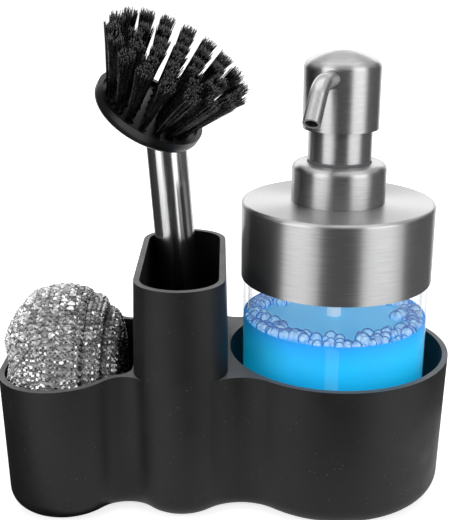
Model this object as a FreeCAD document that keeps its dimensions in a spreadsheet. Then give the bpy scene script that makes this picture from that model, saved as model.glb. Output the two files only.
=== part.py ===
import FreeCAD, Part

import math
import os

import Sketcher
from FreeCAD import Placement, Rotation, Vector

# A kitchen caddy moulded in rubber, with a soap pump, a dish brush and a steel scourer standing in it.
# Millimetres, +Z up, +X to the right along the row of pockets, -Y to the front.
# The origin is on the base, at the middle of the caddy's length and depth.

doc = FreeCAD.newDocument("soap_pump_caddy")
sheet = doc.addObject("Spreadsheet::Sheet", "sheet")

SIZES = {
    # caddy: three lobes in a row, outline taken at the rim
    "rim_height": 62.0,
    "wall": 2.4,
    "floor": 3.0,
    "wall_lean": 1.6,
    "base_round": 8.0,
    "rim_round": 0.5,
    "pocket_round": 4.0,
    "big_lobe_x": 45.4,
    "big_lobe_radius": 48.1,
    "small_lobe_x": -70.65,
    "small_lobe_y": 19.15,
    "small_lobe_radius": 25.85,
    "small_rim_drop": 2.6,
    "small_rim_start": -45.0,
    "valley_right_radius": 17.0,
    "valley_left_radius": 10.0,
    "well_side_x": -40.6,
    "well_corner_radius": 6.5,
    "well_lean": 1.5,
    # tower: the tall slot between the two wells
    "tower_x": -20.65,
    "tower_side_inset": 2.65,
    "tower_end_y": 20.4,
    "tower_end_radius": 22.0,
    "tower_corner_radius": 15.0,
    "tower_height": 103.0,
    "tower_rim_drop": 2.0,
    "tower_lean": 1.05,
    "tower_bore_lean": 0.8,
    # scourer: a knitted steel pad standing on edge
    "scourer_x": -68.5,
    "scourer_z": 44.7,
    "scourer_radius": 41.2,
    "scourer_left": 24.2,
    "scourer_right": 20.8,
    # bottle and its steel cover
    "bottle_x": 44.35,
    "bottle_radius": 39.2,
    "bottle_wall": 2.2,
    "bottle_base": 4.0,
    "bottle_base_round": 3.0,
    "bottle_height": 123.7,
    "bottle_shoulder_round": 8.7,
    "neck_radius": 12.6,
    "neck_bore": 10.5,
    "neck_height": 11.8,
    "thread_wire": 0.9,
    "thread_radius": 12.7,
    "thread_pitch": 3.0,
    "thread_turns": 1.25,
    "thread_above_land": 4.8,
    "cover_radius": 40.0,
    "cover_sheet": 0.6,
    "cover_height": 32.6,
    "cover_round": 1.6,
    "cover_hole": 14.0,
    "soap_depth": 70.5,
    "soap_gap": 0.1,
    # pump: closure, housing and guide sleeve
    "gasket": 1.0,
    "flange": 1.5,
    "flange_radius": 12.4,
    "collar_radius": 19.4,
    "collar_sheet": 0.7,
    "collar_round": 3.0,
    "collar_rise": 2.5,
    "collar_hole": 13.3,
    "nut_bore": 13.75,
    "nut_lip_bore": 11.5,
    "fit_gap": 0.05,
    "guide_radius": 11.4,
    "guide_bore": 4.1,
    "ring_sink": 0.6,
    "ring_height": 1.7,
    "ring_radius": 13.0,
    "cup_floor_rise": 0.9,
    "cup_radius": 12.35,
    "cup_wall": 0.75,
    "cup_height": 7.4,
    "sleeve_radius": 13.0,
    "sleeve_sheet": 0.6,
    "sleeve_height": 15.85,
    "barrel_radius": 8.0,
    "barrel_bore": 6.8,
    "barrel_height": 46.0,
    "seat_height": 3.0,
    "seat_bore": 1.6,
    "socket_height": 8.0,
    "socket_radius": 4.2,
    "ball_radius": 2.0,
    "dip_tube_radius": 3.0,
    "dip_tube_bore": 2.2,
    "dip_tube_room": 2.5,
    "dip_tube_stop": 0.4,
    "dip_tube_gap": 0.1,
    "spring_wire": 0.9,
    "spring_radius": 5.4,
    "spring_turns": 6.0,
    "spring_seat": 0.5,
    "spring_gap": 0.1,
    "piston_drop": 19.5,
    "piston_height": 8.5,
    "piston_gap": 0.05,
    # pump head
    "stem_radius": 4.0,
    "stem_bore": 2.2,
    "stem_in_core": 1.7,
    "stem_plug": 3.0,
    "head_radius": 15.45,
    "head_sheet": 0.6,
    "head_overlap": 3.1,
    "head_corner": 4.0,
    "head_crown": 28.0,
    "head_height": 30.8,
    "core_radius": 14.8,
    "core_depth": 6.3,
    "core_shoulder_room": 0.7,
    "core_bevel": 3.2,
    "core_bevel_rise": 3.0,
    "core_boss_radius": 7.0,
    "core_boss_depth": 13.9,
    "spout_turn": 22.5,
    "spout_in_core": 4.1,
    "spout_radius": 3.5,
    "spout_bore": 2.4,
    "spout_root": 9.0,
    "spout_straight": 24.0,
    "spout_bend": 10.0,
    "spout_angle": 52.0,
    "spout_end": 12.0,
    # dish brush
    "brush_side_gap": 3.4,
    "brush_back_gap": 2.6,
    "brush_lean_x": -0.078,
    "brush_lean_y": 0.0875,
    "brush_foot_z": 4.4,
    "handle_radius": 9.0,
    "handle_sheet": 0.8,
    "handle_length": 140.6,
    "plug_depth": 14.0,
    "plug_flange": 2.0,
    "collar_ring": 1.7,
    "collar_ring_radius": 9.3,
    "collar_depth": 16.0,
    "collar_room": 0.3,
    "spigot_radius": 5.5,
    "spigot_depth": 13.0,
    "dish_from_handle_x": -6.0,
    "dish_from_handle_y": -3.39,
    "dish_from_handle_z": 17.456,
    "dish_axis_x": 0.48,
    "dish_axis_y": -0.30,
    "dish_axis_z": 0.8243,
    "dish_radius": 25.0,
    "dish_height": 7.0,
    "dish_recess": 2.0,
    "dish_lip": 2.2,
    "dish_round": 4.5,
    "neck_length": 22.0,
    "tuft_root_radius": 1.5,
    "tuft_tip_radius": 2.7,
    "tuft_length": 29.5,
    "tuft_hole": 1.75,
    "tuft_hole_depth": 2.6,
    "tuft_root_ring": 6.2,
    "tuft_tip_ring": 10.25,
    "anchor_radius": 1.3,
    "anchor_height": 0.3,
}
RING_COUNT = 3
FIRST_RING_COUNT = 6

for row, (name, number) in enumerate(SIZES.items(), 1):
    sheet.set(f"A{row}", name)
    sheet.set(f"B{row}", str(number))
    sheet.setAlias(f"B{row}", name)
doc.recompute()


class Size:
    """A length with the sheet expression that gives it."""

    def __init__(self, value, text):
        self.value = float(value)
        self.text = text

    def __add__(self, other):
        other = as_size(other)
        return Size(self.value + other.value, f"({self.text} + {other.text})")

    def __sub__(self, other):
        other = as_size(other)
        return Size(self.value - other.value, f"({self.text} - {other.text})")

    def __mul__(self, other):
        other = as_size(other)
        return Size(self.value * other.value, f"({self.text} * {other.text})")

    def __truediv__(self, other):
        other = as_size(other)
        return Size(self.value / other.value, f"({self.text} / {other.text})")

    def __neg__(self):
        return Size(-self.value, f"(-1 * {self.text})")

    __radd__ = __add__
    __rmul__ = __mul__

    def __rsub__(self, other):
        return as_size(other) - self


def as_size(number):
    return number if isinstance(number, Size) else Size(number, repr(float(number)))


class Sizes:
    """The sheet's cells as Size values, by alias."""

    def __getattr__(self, name):
        return Size(getattr(sheet, name), f"sheet.{name}")


dim = Sizes()
ZERO = as_size(0)
tower_half_width = dim.tower_end_radius - dim.tower_side_inset


def bind(thing, prop, size):
    size = as_size(size)
    thing.setExpression(prop, size.text)


def place(thing, x=ZERO, y=ZERO, z=ZERO, rotation=None):
    """Stands a piece at a point, with the point's coordinates tied to the sheet."""
    base = [as_size(v) for v in (x, y, z)]
    thing.Placement = Placement(Vector(*[v.value for v in base]), rotation or Rotation())
    for axis, size in zip("xyz", base):
        bind(thing, f"Placement.Base.{axis}", size)


def new_body(label):
    body = doc.addObject("PartDesign::Body", label)
    body.Label = label
    return body


def origin_plane(body, role):
    return next(f for f in body.Origin.OriginFeatures if f.Role == role)


def new_sketch(body, name, role="XZ_Plane", offset=None):
    sketch = body.newObject("Sketcher::SketchObject", name)
    sketch.AttachmentSupport = [(origin_plane(body, role), "")]
    sketch.MapMode = "FlatFace"
    if offset is not None:
        offset = as_size(offset)
        sketch.AttachmentOffset = Placement(Vector(0, 0, offset.value), Rotation())
        bind(sketch, "AttachmentOffset.Base.z", offset)
    return sketch


def pin(sketch, geo, end, x, y):
    """Ties one end of a line or arc, or an arc's centre, to its coordinates."""
    for kind, size, axis in (("DistanceX", x, -2), ("DistanceY", y, -1)):
        if abs(size.value) < 1e-9:
            sketch.addConstraint(Sketcher.Constraint("PointOnObject", geo, end, axis))
        else:
            index = sketch.addConstraint(Sketcher.Constraint(kind, -1, 1, geo, end, size.value))
            bind(sketch, f"Constraints[{index}]", size)


def arc_through(start, end, radius, left):
    """An arc of a given radius from start to end that bulges to the left or right of the way there."""
    along = end - start
    half = along.Length / 2
    side = Vector(-along.y, along.x, 0).normalize() * (1 if left else -1)
    depth = math.sqrt(max(radius * radius - half * half, 0))
    middle = start + along * 0.5
    return Part.Arc(start, middle + side * (radius - depth), end)


def end_at(sketch, geo, point):
    return 1 if (sketch.getPoint(geo, 1) - point).Length < 1e-5 else 2


def draw(sketch, corners):
    """A closed outline. A corner is (x, y), or (x, y, radius, side) where an arc leads to it, bulging to that side."""
    points = [(as_size(c[0]), as_size(c[1])) for c in corners]
    flat = [Vector(x.value, y.value, 0) for x, y in points]
    ids = []
    for i, corner in enumerate(corners):
        start = flat[i - 1]
        end = flat[i]
        if len(corner) == 4:
            arc = arc_through(start, end, as_size(corner[2]).value, corner[3] == "left")
            ids.append(sketch.addGeometry(Part.ArcOfCircle(start, arc.value((arc.FirstParameter + arc.LastParameter) / 2), end), False))
        else:
            ids.append(sketch.addGeometry(Part.LineSegment(start, end), False))
    count = len(corners)
    for i in range(count):
        this, following = ids[i], ids[(i + 1) % count]
        this_end = end_at(sketch, this, flat[i])
        next_end = end_at(sketch, following, flat[i])
        sketch.addConstraint(Sketcher.Constraint("Coincident", this, this_end, following, next_end))
        pin(sketch, this, this_end, *points[i])
        if len(corners[i]) == 4:
            radius = as_size(corners[i][2])
            index = sketch.addConstraint(Sketcher.Constraint("Radius", this, radius.value))
            bind(sketch, f"Constraints[{index}]", radius)
    return sketch


def turned(label, corners, x=ZERO, y=ZERO, z=ZERO):
    """A piece turned about its own vertical axis, from (radius, height) corners."""
    body = new_body(label)
    sketch = draw(new_sketch(body, f"{label}_profile"), corners)
    turn = body.newObject("PartDesign::Revolution", f"{label}_turn")
    turn.Profile = sketch
    turn.ReferenceAxis = (sketch, ["V_Axis"])
    turn.Angle = 360
    place(body, x, y, z)
    doc.recompute()
    return body


def edges_where(shape, test):
    return [f"Edge{i}" for i, edge in enumerate(shape.Edges, 1) if test(edge)]


def round_edges(body, name, test, radius):
    """Rounds the edges of the body's last feature that a test picks."""
    base = body.Tip
    names = edges_where(base.Shape, test)
    fillet = body.newObject("PartDesign::Fillet", name)
    fillet.Base = (base, names)
    bind(fillet, "Radius", radius)
    fillet.Radius = as_size(radius).value
    body.Tip = fillet
    doc.recompute()
    return fillet


def level(edge, height, reach=0.01):
    return abs(edge.BoundBox.ZMin - height) < reach and abs(edge.BoundBox.ZMax - height) < reach


def hole(label, outer_radius, inner_radius, low, high, **at):
    """A plain ring."""
    return turned(label, [(inner_radius, low), (outer_radius, low), (outer_radius, high), (inner_radius, high)], **at)


def sin_of(angle):
    return Size(math.sin(math.radians(angle.value)), f"sin({angle.text} * 1deg)")


def cos_of(angle):
    return Size(math.cos(math.radians(angle.value)), f"cos({angle.text} * 1deg)")


def root_of(square):
    return Size(math.sqrt(square.value), f"sqrt({square.text})")


def meeting(first, first_reach, second, second_reach, front):
    """The point at given distances from two centres, on the front or the back side."""
    across = second - first
    span = across.Length
    along = (first_reach ** 2 - second_reach ** 2 + span ** 2) / (2 * span)
    off = math.sqrt(first_reach ** 2 - along ** 2)
    unit = across / span
    sides = [first + unit * along + Vector(-unit.y, unit.x, 0) * off * s for s in (1, -1)]
    return min(sides, key=lambda p: p.y if front else -p.y)


def heading(start, end):
    return math.atan2(end.y - start.y, end.x - start.x)


def arc_between(centre, radius, start, end):
    while end < start:
        end += 2 * math.pi
    return Part.ArcOfCircle(Part.Circle(centre, Vector(0, 0, 1), radius), start, end)


def chain(sketch, runs):
    """A closed outline of tangent arcs and lines. A run is (curve, radius, centre or None, backwards)."""
    ids = [sketch.addGeometry(run[0], False) for run in runs]
    for i, run in enumerate(runs):
        following = runs[(i + 1) % len(runs)]
        this_end = 1 if run[3] else 2
        next_end = 2 if following[3] else 1
        other = ids[(i + 1) % len(runs)]
        sketch.addConstraint(Sketcher.Constraint("Tangent", ids[i], this_end, other, next_end))
        if run[1] is not None:
            index = sketch.addConstraint(Sketcher.Constraint("Radius", ids[i], run[1].value))
            bind(sketch, f"Constraints[{index}]", run[1])
        if run[2] is not None:
            pin(sketch, ids[i], 3, *run[2])
    return ids


def lobes(sketch, inset):
    """The caddy's outline: big lobe, tower end, small lobe, with hollow valleys between them."""
    big = Vector(dim.big_lobe_x.value, 0, 0)
    big_radius = dim.big_lobe_radius - inset
    end_radius = dim.tower_end_radius - inset
    small_radius = dim.small_lobe_radius - inset
    right_valley = dim.valley_right_radius + inset
    left_valley = dim.valley_left_radius + inset
    half = {}
    for front in (True, False):
        sign = -1 if front else 1
        end_y = dim.tower_end_y * sign
        small_y = dim.small_lobe_y * sign
        end = Vector(dim.tower_x.value, end_y.value, 0)
        small = Vector(dim.small_lobe_x.value, small_y.value, 0)
        right = meeting(big, (big_radius + right_valley).value, end, (end_radius + right_valley).value, front)
        left = meeting(end, (end_radius + left_valley).value, small, (small_radius + left_valley).value, front)
        half[front] = (end, end_y, small, small_y, right, left)
    end, end_y, small, small_y, right, left = half[False]
    back = [
        (arc_between(right, right_valley.value, heading(right, end), heading(right, big)), right_valley, None, True),
        (arc_between(end, end_radius.value, heading(end, right), heading(end, left)), end_radius, (dim.tower_x, end_y), False),
        (arc_between(left, left_valley.value, heading(left, small), heading(left, end)), left_valley, None, True),
        (arc_between(small, small_radius.value, heading(small, left), math.pi), small_radius, (dim.small_lobe_x, small_y), False),
    ]
    side_x = small.x - small_radius.value
    side = Part.LineSegment(Vector(side_x, small.y, 0), Vector(side_x, -small.y, 0))
    back_right = right
    end, end_y, small, small_y, right, left = half[True]
    front = [
        (arc_between(small, small_radius.value, -math.pi, heading(small, left)), small_radius, (dim.small_lobe_x, small_y), False),
        (arc_between(left, left_valley.value, heading(left, end), heading(left, small)), left_valley, None, True),
        (arc_between(end, end_radius.value, heading(end, left), heading(end, right)), end_radius, (dim.tower_x, end_y), False),
        (arc_between(right, right_valley.value, heading(right, big), heading(right, end)), right_valley, None, True),
    ]
    lobe = arc_between(big, big_radius.value, heading(big, right), heading(big, back_right))
    chain(sketch, [(lobe, big_radius, (dim.big_lobe_x, ZERO), False), *back, (side, None, None, False), *front])


def tower_outline(sketch, inset):
    """The tower's outline: two bowed ends, four corners and two straight sides."""
    end_radius = dim.tower_end_radius - inset
    corner = dim.tower_corner_radius - inset
    width = tower_half_width - inset
    x = dim.tower_x.value
    offset = tower_half_width.value - dim.tower_corner_radius.value
    reach = dim.tower_end_radius.value - dim.tower_corner_radius.value
    depth = dim.tower_end_y.value + math.sqrt(reach ** 2 - offset ** 2)
    lean = math.atan2(depth - dim.tower_end_y.value, offset)
    quarter = math.pi / 2
    ends = {s: Vector(x, s * dim.tower_end_y.value, 0) for s in (-1, 1)}
    corners = {(i, j): Vector(x + i * offset, j * depth, 0) for i in (-1, 1) for j in (-1, 1)}
    r, c = end_radius.value, corner.value
    right = Part.LineSegment(Vector(x + width.value, -depth, 0), Vector(x + width.value, depth, 0))
    left = Part.LineSegment(Vector(x - width.value, depth, 0), Vector(x - width.value, -depth, 0))
    ids = chain(sketch, [
        (right, None, None, False),
        (arc_between(corners[1, 1], c, 0, lean), corner, None, False),
        (arc_between(ends[1], r, lean, math.pi - lean), end_radius, (dim.tower_x, dim.tower_end_y), False),
        (arc_between(corners[-1, 1], c, math.pi - lean, math.pi), corner, None, False),
        (left, None, None, False),
        (arc_between(corners[-1, -1], c, math.pi, math.pi + lean), corner, None, False),
        (arc_between(ends[-1], r, math.pi + lean, 2 * math.pi - lean), end_radius, (dim.tower_x, -dim.tower_end_y), False),
        (arc_between(corners[1, -1], c, -lean, 0), corner, None, False),
    ])
    for geo, size in ((ids[0], dim.tower_x + width), (ids[4], dim.tower_x - width)):
        index = sketch.addConstraint(Sketcher.Constraint("DistanceX", -1, 1, geo, 1, size.value))
        bind(sketch, f"Constraints[{index}]", size)


def long_well(sketch, inset):
    """The scourer well: it follows the small lobe and its valleys, and ends in a straight side by the tower."""
    lobe_radius = dim.small_lobe_radius - dim.wall - inset
    valley_radius = dim.valley_left_radius + dim.wall + inset
    corner_radius = dim.well_corner_radius - inset
    side_x = dim.well_side_x - inset
    reach = dim.tower_end_radius + dim.valley_left_radius
    far = Vector(side_x.value, 0, 0)
    half = {}
    for front in (True, False):
        sign = -1 if front else 1
        end = Vector(dim.tower_x.value, sign * dim.tower_end_y.value, 0)
        lobe = Vector(dim.small_lobe_x.value, sign * dim.small_lobe_y.value, 0)
        valley = meeting(end, reach.value, lobe, (lobe_radius + valley_radius).value, front)
        x = side_x.value - corner_radius.value
        rise = math.sqrt((valley_radius + corner_radius).value ** 2 - (x - valley.x) ** 2)
        half[front] = (end, lobe, valley, Vector(x, valley.y - sign * rise, 0))
    end, lobe, valley, corner = half[False]
    side = Part.LineSegment(far - Vector(0, corner.y, 0), far + Vector(0, corner.y, 0))
    left_x = lobe.x - lobe_radius.value
    runs = [
        (side, None, None, False),
        (arc_between(corner, corner_radius.value, 0, heading(corner, valley)), corner_radius, None, False),
        (arc_between(valley, valley_radius.value, heading(valley, lobe), heading(valley, corner)), valley_radius, None, True),
        (arc_between(lobe, lobe_radius.value, heading(lobe, valley), math.pi), lobe_radius,
         (dim.small_lobe_x, dim.small_lobe_y), False),
        (Part.LineSegment(Vector(left_x, lobe.y, 0), Vector(left_x, -lobe.y, 0)), None, None, False),
    ]
    back_end = end
    end, lobe, valley, corner = half[True]
    runs += [
        (arc_between(lobe, lobe_radius.value, -math.pi, heading(lobe, valley)), lobe_radius,
         (dim.small_lobe_x, -dim.small_lobe_y), False),
        (arc_between(valley, valley_radius.value, heading(valley, corner), heading(valley, lobe)), valley_radius, None, True),
        (arc_between(corner, corner_radius.value, heading(corner, valley), 0), corner_radius, None, False),
    ]
    ids = chain(sketch, runs)
    index = sketch.addConstraint(Sketcher.Constraint("DistanceX", -1, 1, ids[0], 1, side_x.value))
    bind(sketch, f"Constraints[{index}]", side_x)
    for geo, centre, y in ((ids[2], back_end, dim.tower_end_y), (ids[6], end, -dim.tower_end_y)):
        point = sketch.addGeometry(Part.Point(centre), True)
        pin(sketch, point, 1, dim.tower_x, y)
        index = sketch.addConstraint(Sketcher.Constraint("Distance", geo, 3, point, 1, reach.value))
        bind(sketch, f"Constraints[{index}]", reach)


def round_well(sketch, inset):
    radius = dim.big_lobe_radius - dim.wall - inset
    circle = Part.Circle(Vector(dim.big_lobe_x.value, 0, 0), Vector(0, 0, 1), radius.value)
    geo = sketch.addGeometry(circle, False)
    index = sketch.addConstraint(Sketcher.Constraint("Radius", geo, radius.value))
    bind(sketch, f"Constraints[{index}]", radius)
    pin(sketch, geo, 3, dim.big_lobe_x, ZERO)


def lofted(body, name, kind, outline, low, low_inset, high, high_inset):
    """A straight loft between one outline at two levels, added to the body or cut from it."""
    sketches = []
    for word, height, inset in (("low", low, low_inset), ("high", high, high_inset)):
        sketch = new_sketch(body, f"{name}_{word}", "XY_Plane", height)
        outline(sketch, as_size(inset))
        sketches.append(sketch)
    doc.recompute()
    loft = body.newObject(f"PartDesign::{kind}Loft", name)
    loft.Profile = sketches[0]
    loft.Sections = [sketches[1]]
    loft.Ruled = True
    body.Tip = loft
    doc.recompute()
    return loft


def wedge_cut(body, name, role, corners):
    """Cuts a slanting slice right through the body, to both sides of the sketch."""
    before = body.Shape.Volume
    sketch = draw(new_sketch(body, f"{name}_profile", role), corners)
    cut = body.newObject("PartDesign::Pocket", name)
    cut.Profile = sketch
    cut.SideType = "Symmetric"
    cut.Length = 300
    body.Tip = cut
    doc.recompute()
    if not body.Shape.Volume < before:
        raise SystemExit(f"{name} cut nothing")


def build_caddy():
    body = new_body("caddy_body")
    lofted(body, "caddy_block", "Additive", lobes, ZERO, dim.wall_lean, dim.rim_height, ZERO)
    round_edges(body, "caddy_base_round", lambda e: level(e, 0), dim.base_round)
    lofted(body, "tower_block", "Additive", tower_outline, dim.rim_height, ZERO, dim.tower_height, dim.tower_lean)
    bore = dim.tower_lean + dim.wall
    for name, outline, low_inset, top, top_inset, middle in (
        ("round_well", round_well, dim.well_lean, dim.rim_height, ZERO, dim.big_lobe_x),
        ("long_well", long_well, dim.well_lean, dim.rim_height, ZERO, dim.small_lobe_x),
        ("tower_bore", tower_outline, bore + dim.tower_bore_lean, dim.tower_height, bore, dim.tower_x),
    ):
        lofted(body, name, "Subtractive", outline, dim.floor, low_inset, top, top_inset)
        reach = dim.big_lobe_radius.value if name == "round_well" else dim.small_lobe_radius.value + 5
        inside = lambda e: level(e, dim.floor.value) and abs(e.CenterOfMass.x - middle.value) < reach
        round_edges(body, f"{name}_floor_round", inside, dim.pocket_round)
    past = dim.tower_end_y + dim.tower_end_radius + 10
    wedge_cut(body, "tower_slant", "YZ_Plane", [
        (-past, dim.tower_height - dim.tower_rim_drop),
        (past, dim.tower_height),
        (past, dim.tower_height + 20),
        (-past, dim.tower_height + 20),
    ])
    left = dim.small_lobe_x - dim.small_lobe_radius
    wedge_cut(body, "small_rim_slant", "XZ_Plane", [
        (left - 1, dim.rim_height - dim.small_rim_drop),
        (dim.small_rim_start, dim.rim_height),
        (dim.small_rim_start, dim.rim_height + 20),
        (left - 1, dim.rim_height + 20),
    ])
    return body


caddy_body = build_caddy()


def build_scourer():
    """A pad with one domed side and two folds on the other, turned about a level axis."""
    r = dim.scourer_radius
    left = dim.scourer_left
    right = dim.scourer_right
    body = new_body("scourer")
    sketch = draw(new_sketch(body, "scourer_profile"), [
        (-left, ZERO),
        (-left * 0.944, r * 0.371, r * 2.35, "left"),
        (-left * 0.692, r * 0.78, r * 1.19, "left"),
        (-left * 0.117, r, r * 0.384, "left"),
        (right * 0.264, r * 0.97, r * 0.743, "left"),
        (right * 0.346, r * 0.931, r * 0.05, "left"),
        (right * 0.365, r * 0.901),
        (right * 0.635, r * 0.861, r * 0.149, "left"),
        (right * 0.683, r * 0.807, r * 0.06, "left"),
        (right * 0.721, r * 0.772),
        (right * 0.971, r * 0.656, r * 0.161, "left"),
        (right, r * 0.446, r * 0.297, "left"),
        (right * 0.856, r * 0.198),
        (right * 0.827, ZERO),
    ])
    turn = body.newObject("PartDesign::Revolution", "scourer_turn")
    turn.Profile = sketch
    turn.ReferenceAxis = (sketch, ["H_Axis"])
    turn.Angle = 360
    place(body, dim.scourer_x, ZERO, dim.scourer_z)
    doc.recompute()
    return body


scourer = build_scourer()


def biarc(start, start_way, end, end_way):
    """Two arcs that leave and arrive along given directions."""
    across = end - start
    ways = start_way + end_way
    a = 2 * (start_way.dot(end_way) - 1)
    b = -2 * across.dot(ways)
    c = across.dot(across)
    reach = (-b - math.sqrt(b * b - 4 * a * c)) / (2 * a)
    reach = reach if reach > 0 else (-b + math.sqrt(b * b - 4 * a * c)) / (2 * a)
    joint = (start + end + (start_way - end_way) * reach) * 0.5
    return [arc_along(start, start_way, joint), arc_along(end, end_way * -1, joint)]


def arc_along(start, way, end):
    chord = end - start
    side = chord - way * chord.dot(way)
    side.normalize()
    centre = start + side * (chord.dot(chord) / (2 * chord.dot(side)))
    radius = (start - centre).Length
    middle = ((start - centre) + (end - centre)).normalize()
    return Part.Arc(start, centre + middle * radius, end).toShape()


def coil(radius, low, high, turns, wire, steps=6):
    """A round wire wound on an upright cylinder."""
    count = int(round(turns * steps))
    rise = (high - low) / (2 * math.pi * turns)
    points = []
    ways = []
    for i in range(count + 1):
        angle = 2 * math.pi * turns * i / count
        points.append(Vector(radius * math.cos(angle), radius * math.sin(angle), low + rise * angle))
        ways.append(Vector(-radius * math.sin(angle), radius * math.cos(angle), rise).normalize())
    edges = []
    for i in range(count):
        first, second = biarc(points[i], ways[i], points[i + 1], ways[i + 1])
        edges += [first, second]
    path = Part.Wire(Part.sortEdges(edges)[0])
    section = Part.Wire(Part.makeCircle(wire / 2, points[0], ways[0]))
    return path.makePipeShell([section], True, True)


def feature(label, shape):
    piece = doc.addObject("Part::Feature", label)
    piece.Shape = shape
    piece.Label = label
    return piece


def crown(radius, corner, sphere, top):
    """The end corners of a domed outline: where the wall stops, and where the corner meets the crown."""
    centre = top - sphere
    rise = root_of((sphere - corner) * (sphere - corner) - (radius - corner) * (radius - corner))
    grow = sphere / (sphere - corner)
    return centre + rise, (radius - corner) * grow, centre + rise * grow


def bar(body, name, kind, radius, height, placement):
    """A plain cylinder added to a body or cut from it."""
    piece = body.newObject(f"PartDesign::{kind}Cylinder", name)
    bind(piece, "Radius", radius)
    bind(piece, "Height", height)
    piece.Radius = as_size(radius).value
    piece.Height = as_size(height).value
    piece.Placement = placement
    body.Tip = piece
    doc.recompute()
    return piece


on_axis = {"x": dim.bottle_x}

# bottle, cover and soap
base = dim.floor
bottle_floor = base + dim.bottle_base
bottle_land = base + dim.bottle_height
neck_top = bottle_land + dim.neck_height
thread_start = bottle_land + dim.thread_above_land
inner = dim.bottle_radius - dim.bottle_wall
inner_round = dim.bottle_shoulder_round - dim.bottle_wall
bottle_blank = turned("bottle_blank", [
    (ZERO, base),
    (dim.bottle_radius - dim.bottle_base_round, base),
    (dim.bottle_radius, base + dim.bottle_base_round, dim.bottle_base_round, "right"),
    (dim.bottle_radius, bottle_land - dim.bottle_shoulder_round),
    (dim.bottle_radius - dim.bottle_shoulder_round, bottle_land, dim.bottle_shoulder_round, "right"),
    (dim.neck_radius, bottle_land),
    (dim.neck_radius, neck_top),
    (dim.neck_bore, neck_top),
    (dim.neck_bore, bottle_land - dim.bottle_wall),
    (inner - inner_round, bottle_land - dim.bottle_wall),
    (inner, bottle_land - dim.bottle_shoulder_round, inner_round, "left"),
    (inner, bottle_floor),
    (ZERO, bottle_floor),
], **on_axis)
thread_rise = dim.thread_pitch * dim.thread_turns
thread = feature("bottle_thread", coil(
    dim.thread_radius.value,
    thread_start.value,
    (thread_start + thread_rise).value,
    dim.thread_turns.value,
    2 * dim.thread_wire.value,
))
place(thread, **on_axis)
doc.recompute()
bottle = doc.addObject("Part::Fuse", "bottle")
bottle.Base = bottle_blank
bottle.Tool = thread
bottle.Label = "bottle"

cover_top = bottle_land + dim.cover_sheet
cover_low = cover_top - dim.cover_height
soap_level = bottle_floor + dim.soap_depth
cover_inner = dim.cover_radius - dim.cover_sheet
cover_inner_round = dim.cover_round - dim.cover_sheet
cover_shell = turned("cover_shell", [
    (cover_inner, cover_low),
    (dim.cover_radius, cover_low),
    (dim.cover_radius, cover_top - dim.cover_round),
    (dim.cover_radius - dim.cover_round, cover_top, dim.cover_round, "right"),
    (dim.cover_hole, cover_top),
    (dim.cover_hole, bottle_land),
    (cover_inner - cover_inner_round, bottle_land),
    (cover_inner, cover_top - dim.cover_round, cover_inner_round, "left"),
], **on_axis)

soap_fill = hole(
    "soap_fill",
    inner - dim.soap_gap,
    dim.dip_tube_radius + dim.soap_gap,
    bottle_floor + dim.soap_gap,
    soap_level,
    **on_axis,
)

# pump: the parts that lift out of the bottle together
gasket_top = neck_top + dim.gasket
flange_top = gasket_top + dim.flange
collar_top = flange_top + dim.collar_rise
ring_low = collar_top - dim.ring_sink
ring_high = ring_low + dim.ring_height
cup_floor = ring_high + dim.cup_floor_rise
cup_top = ring_high + dim.cup_height
sleeve_low = ring_high + dim.fit_gap
sleeve_top = sleeve_low + dim.sleeve_height
barrel_low = flange_top - dim.barrel_height
seat_low = barrel_low - dim.seat_height
socket_low = seat_low - dim.socket_height
dip_tube_low = bottle_floor + dim.dip_tube_room
dip_tube_seat = seat_low - dim.dip_tube_stop
dip_tube_high = dip_tube_seat - dim.dip_tube_gap
piston_low = flange_top - dim.piston_drop
piston_high = piston_low + dim.piston_height
spring_low = barrel_low + dim.spring_seat
spring_high = piston_low - dim.spring_gap
neck_gasket = hole("neck_gasket", dim.flange_radius, dim.neck_bore, neck_top, gasket_top, **on_axis)
pump_housing = turned("pump_housing", [
    (dim.barrel_bore, barrel_low),
    (dim.barrel_bore, flange_top),
    (dim.flange_radius, flange_top),
    (dim.flange_radius, gasket_top),
    (dim.barrel_radius, gasket_top),
    (dim.barrel_radius, barrel_low),
    (dim.socket_radius, seat_low),
    (dim.socket_radius, socket_low),
    (dim.dip_tube_radius + dim.fit_gap, socket_low),
    (dim.dip_tube_radius + dim.fit_gap, dip_tube_seat),
    (dim.seat_bore, dip_tube_seat),
    (dim.seat_bore, seat_low + 1),
    (dim.ball_radius + 0.3, seat_low + 2),
    (dim.ball_radius + 0.3, barrel_low),
], **on_axis)
stop_radius = dim.barrel_bore - dim.fit_gap
stop_low = piston_high + dim.fit_gap
lock_ring = turned("lock_ring", [
    (dim.guide_bore, stop_low),
    (stop_radius, stop_low),
    (stop_radius, flange_top + dim.fit_gap),
    (dim.guide_radius, flange_top + dim.fit_gap),
    (dim.guide_radius, ring_low),
    (dim.ring_radius, ring_low),
    (dim.ring_radius, ring_high),
    (dim.cup_radius, ring_high),
    (dim.cup_radius, cup_top),
    (dim.cup_radius - dim.cup_wall, cup_top),
    (dim.cup_radius - dim.cup_wall, cup_floor),
    (dim.guide_bore, cup_floor),
], **on_axis)
sleeve_shell = hole(
    "sleeve_shell", dim.sleeve_radius, dim.sleeve_radius - dim.sleeve_sheet, sleeve_low, sleeve_top, **on_axis
)
dip_tube = hole(
    "dip_tube", dim.dip_tube_radius, dim.dip_tube_bore, dip_tube_low, dip_tube_high, **on_axis
)
inlet_ball = doc.addObject("Part::Sphere", "inlet_ball")
inlet_ball.Label = "inlet_ball"
bind(inlet_ball, "Radius", dim.ball_radius)
place(inlet_ball, dim.bottle_x, ZERO, seat_low + 1 + dim.ball_radius * 0.62 + 0.05)
half_wire = dim.spring_wire / 2
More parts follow.
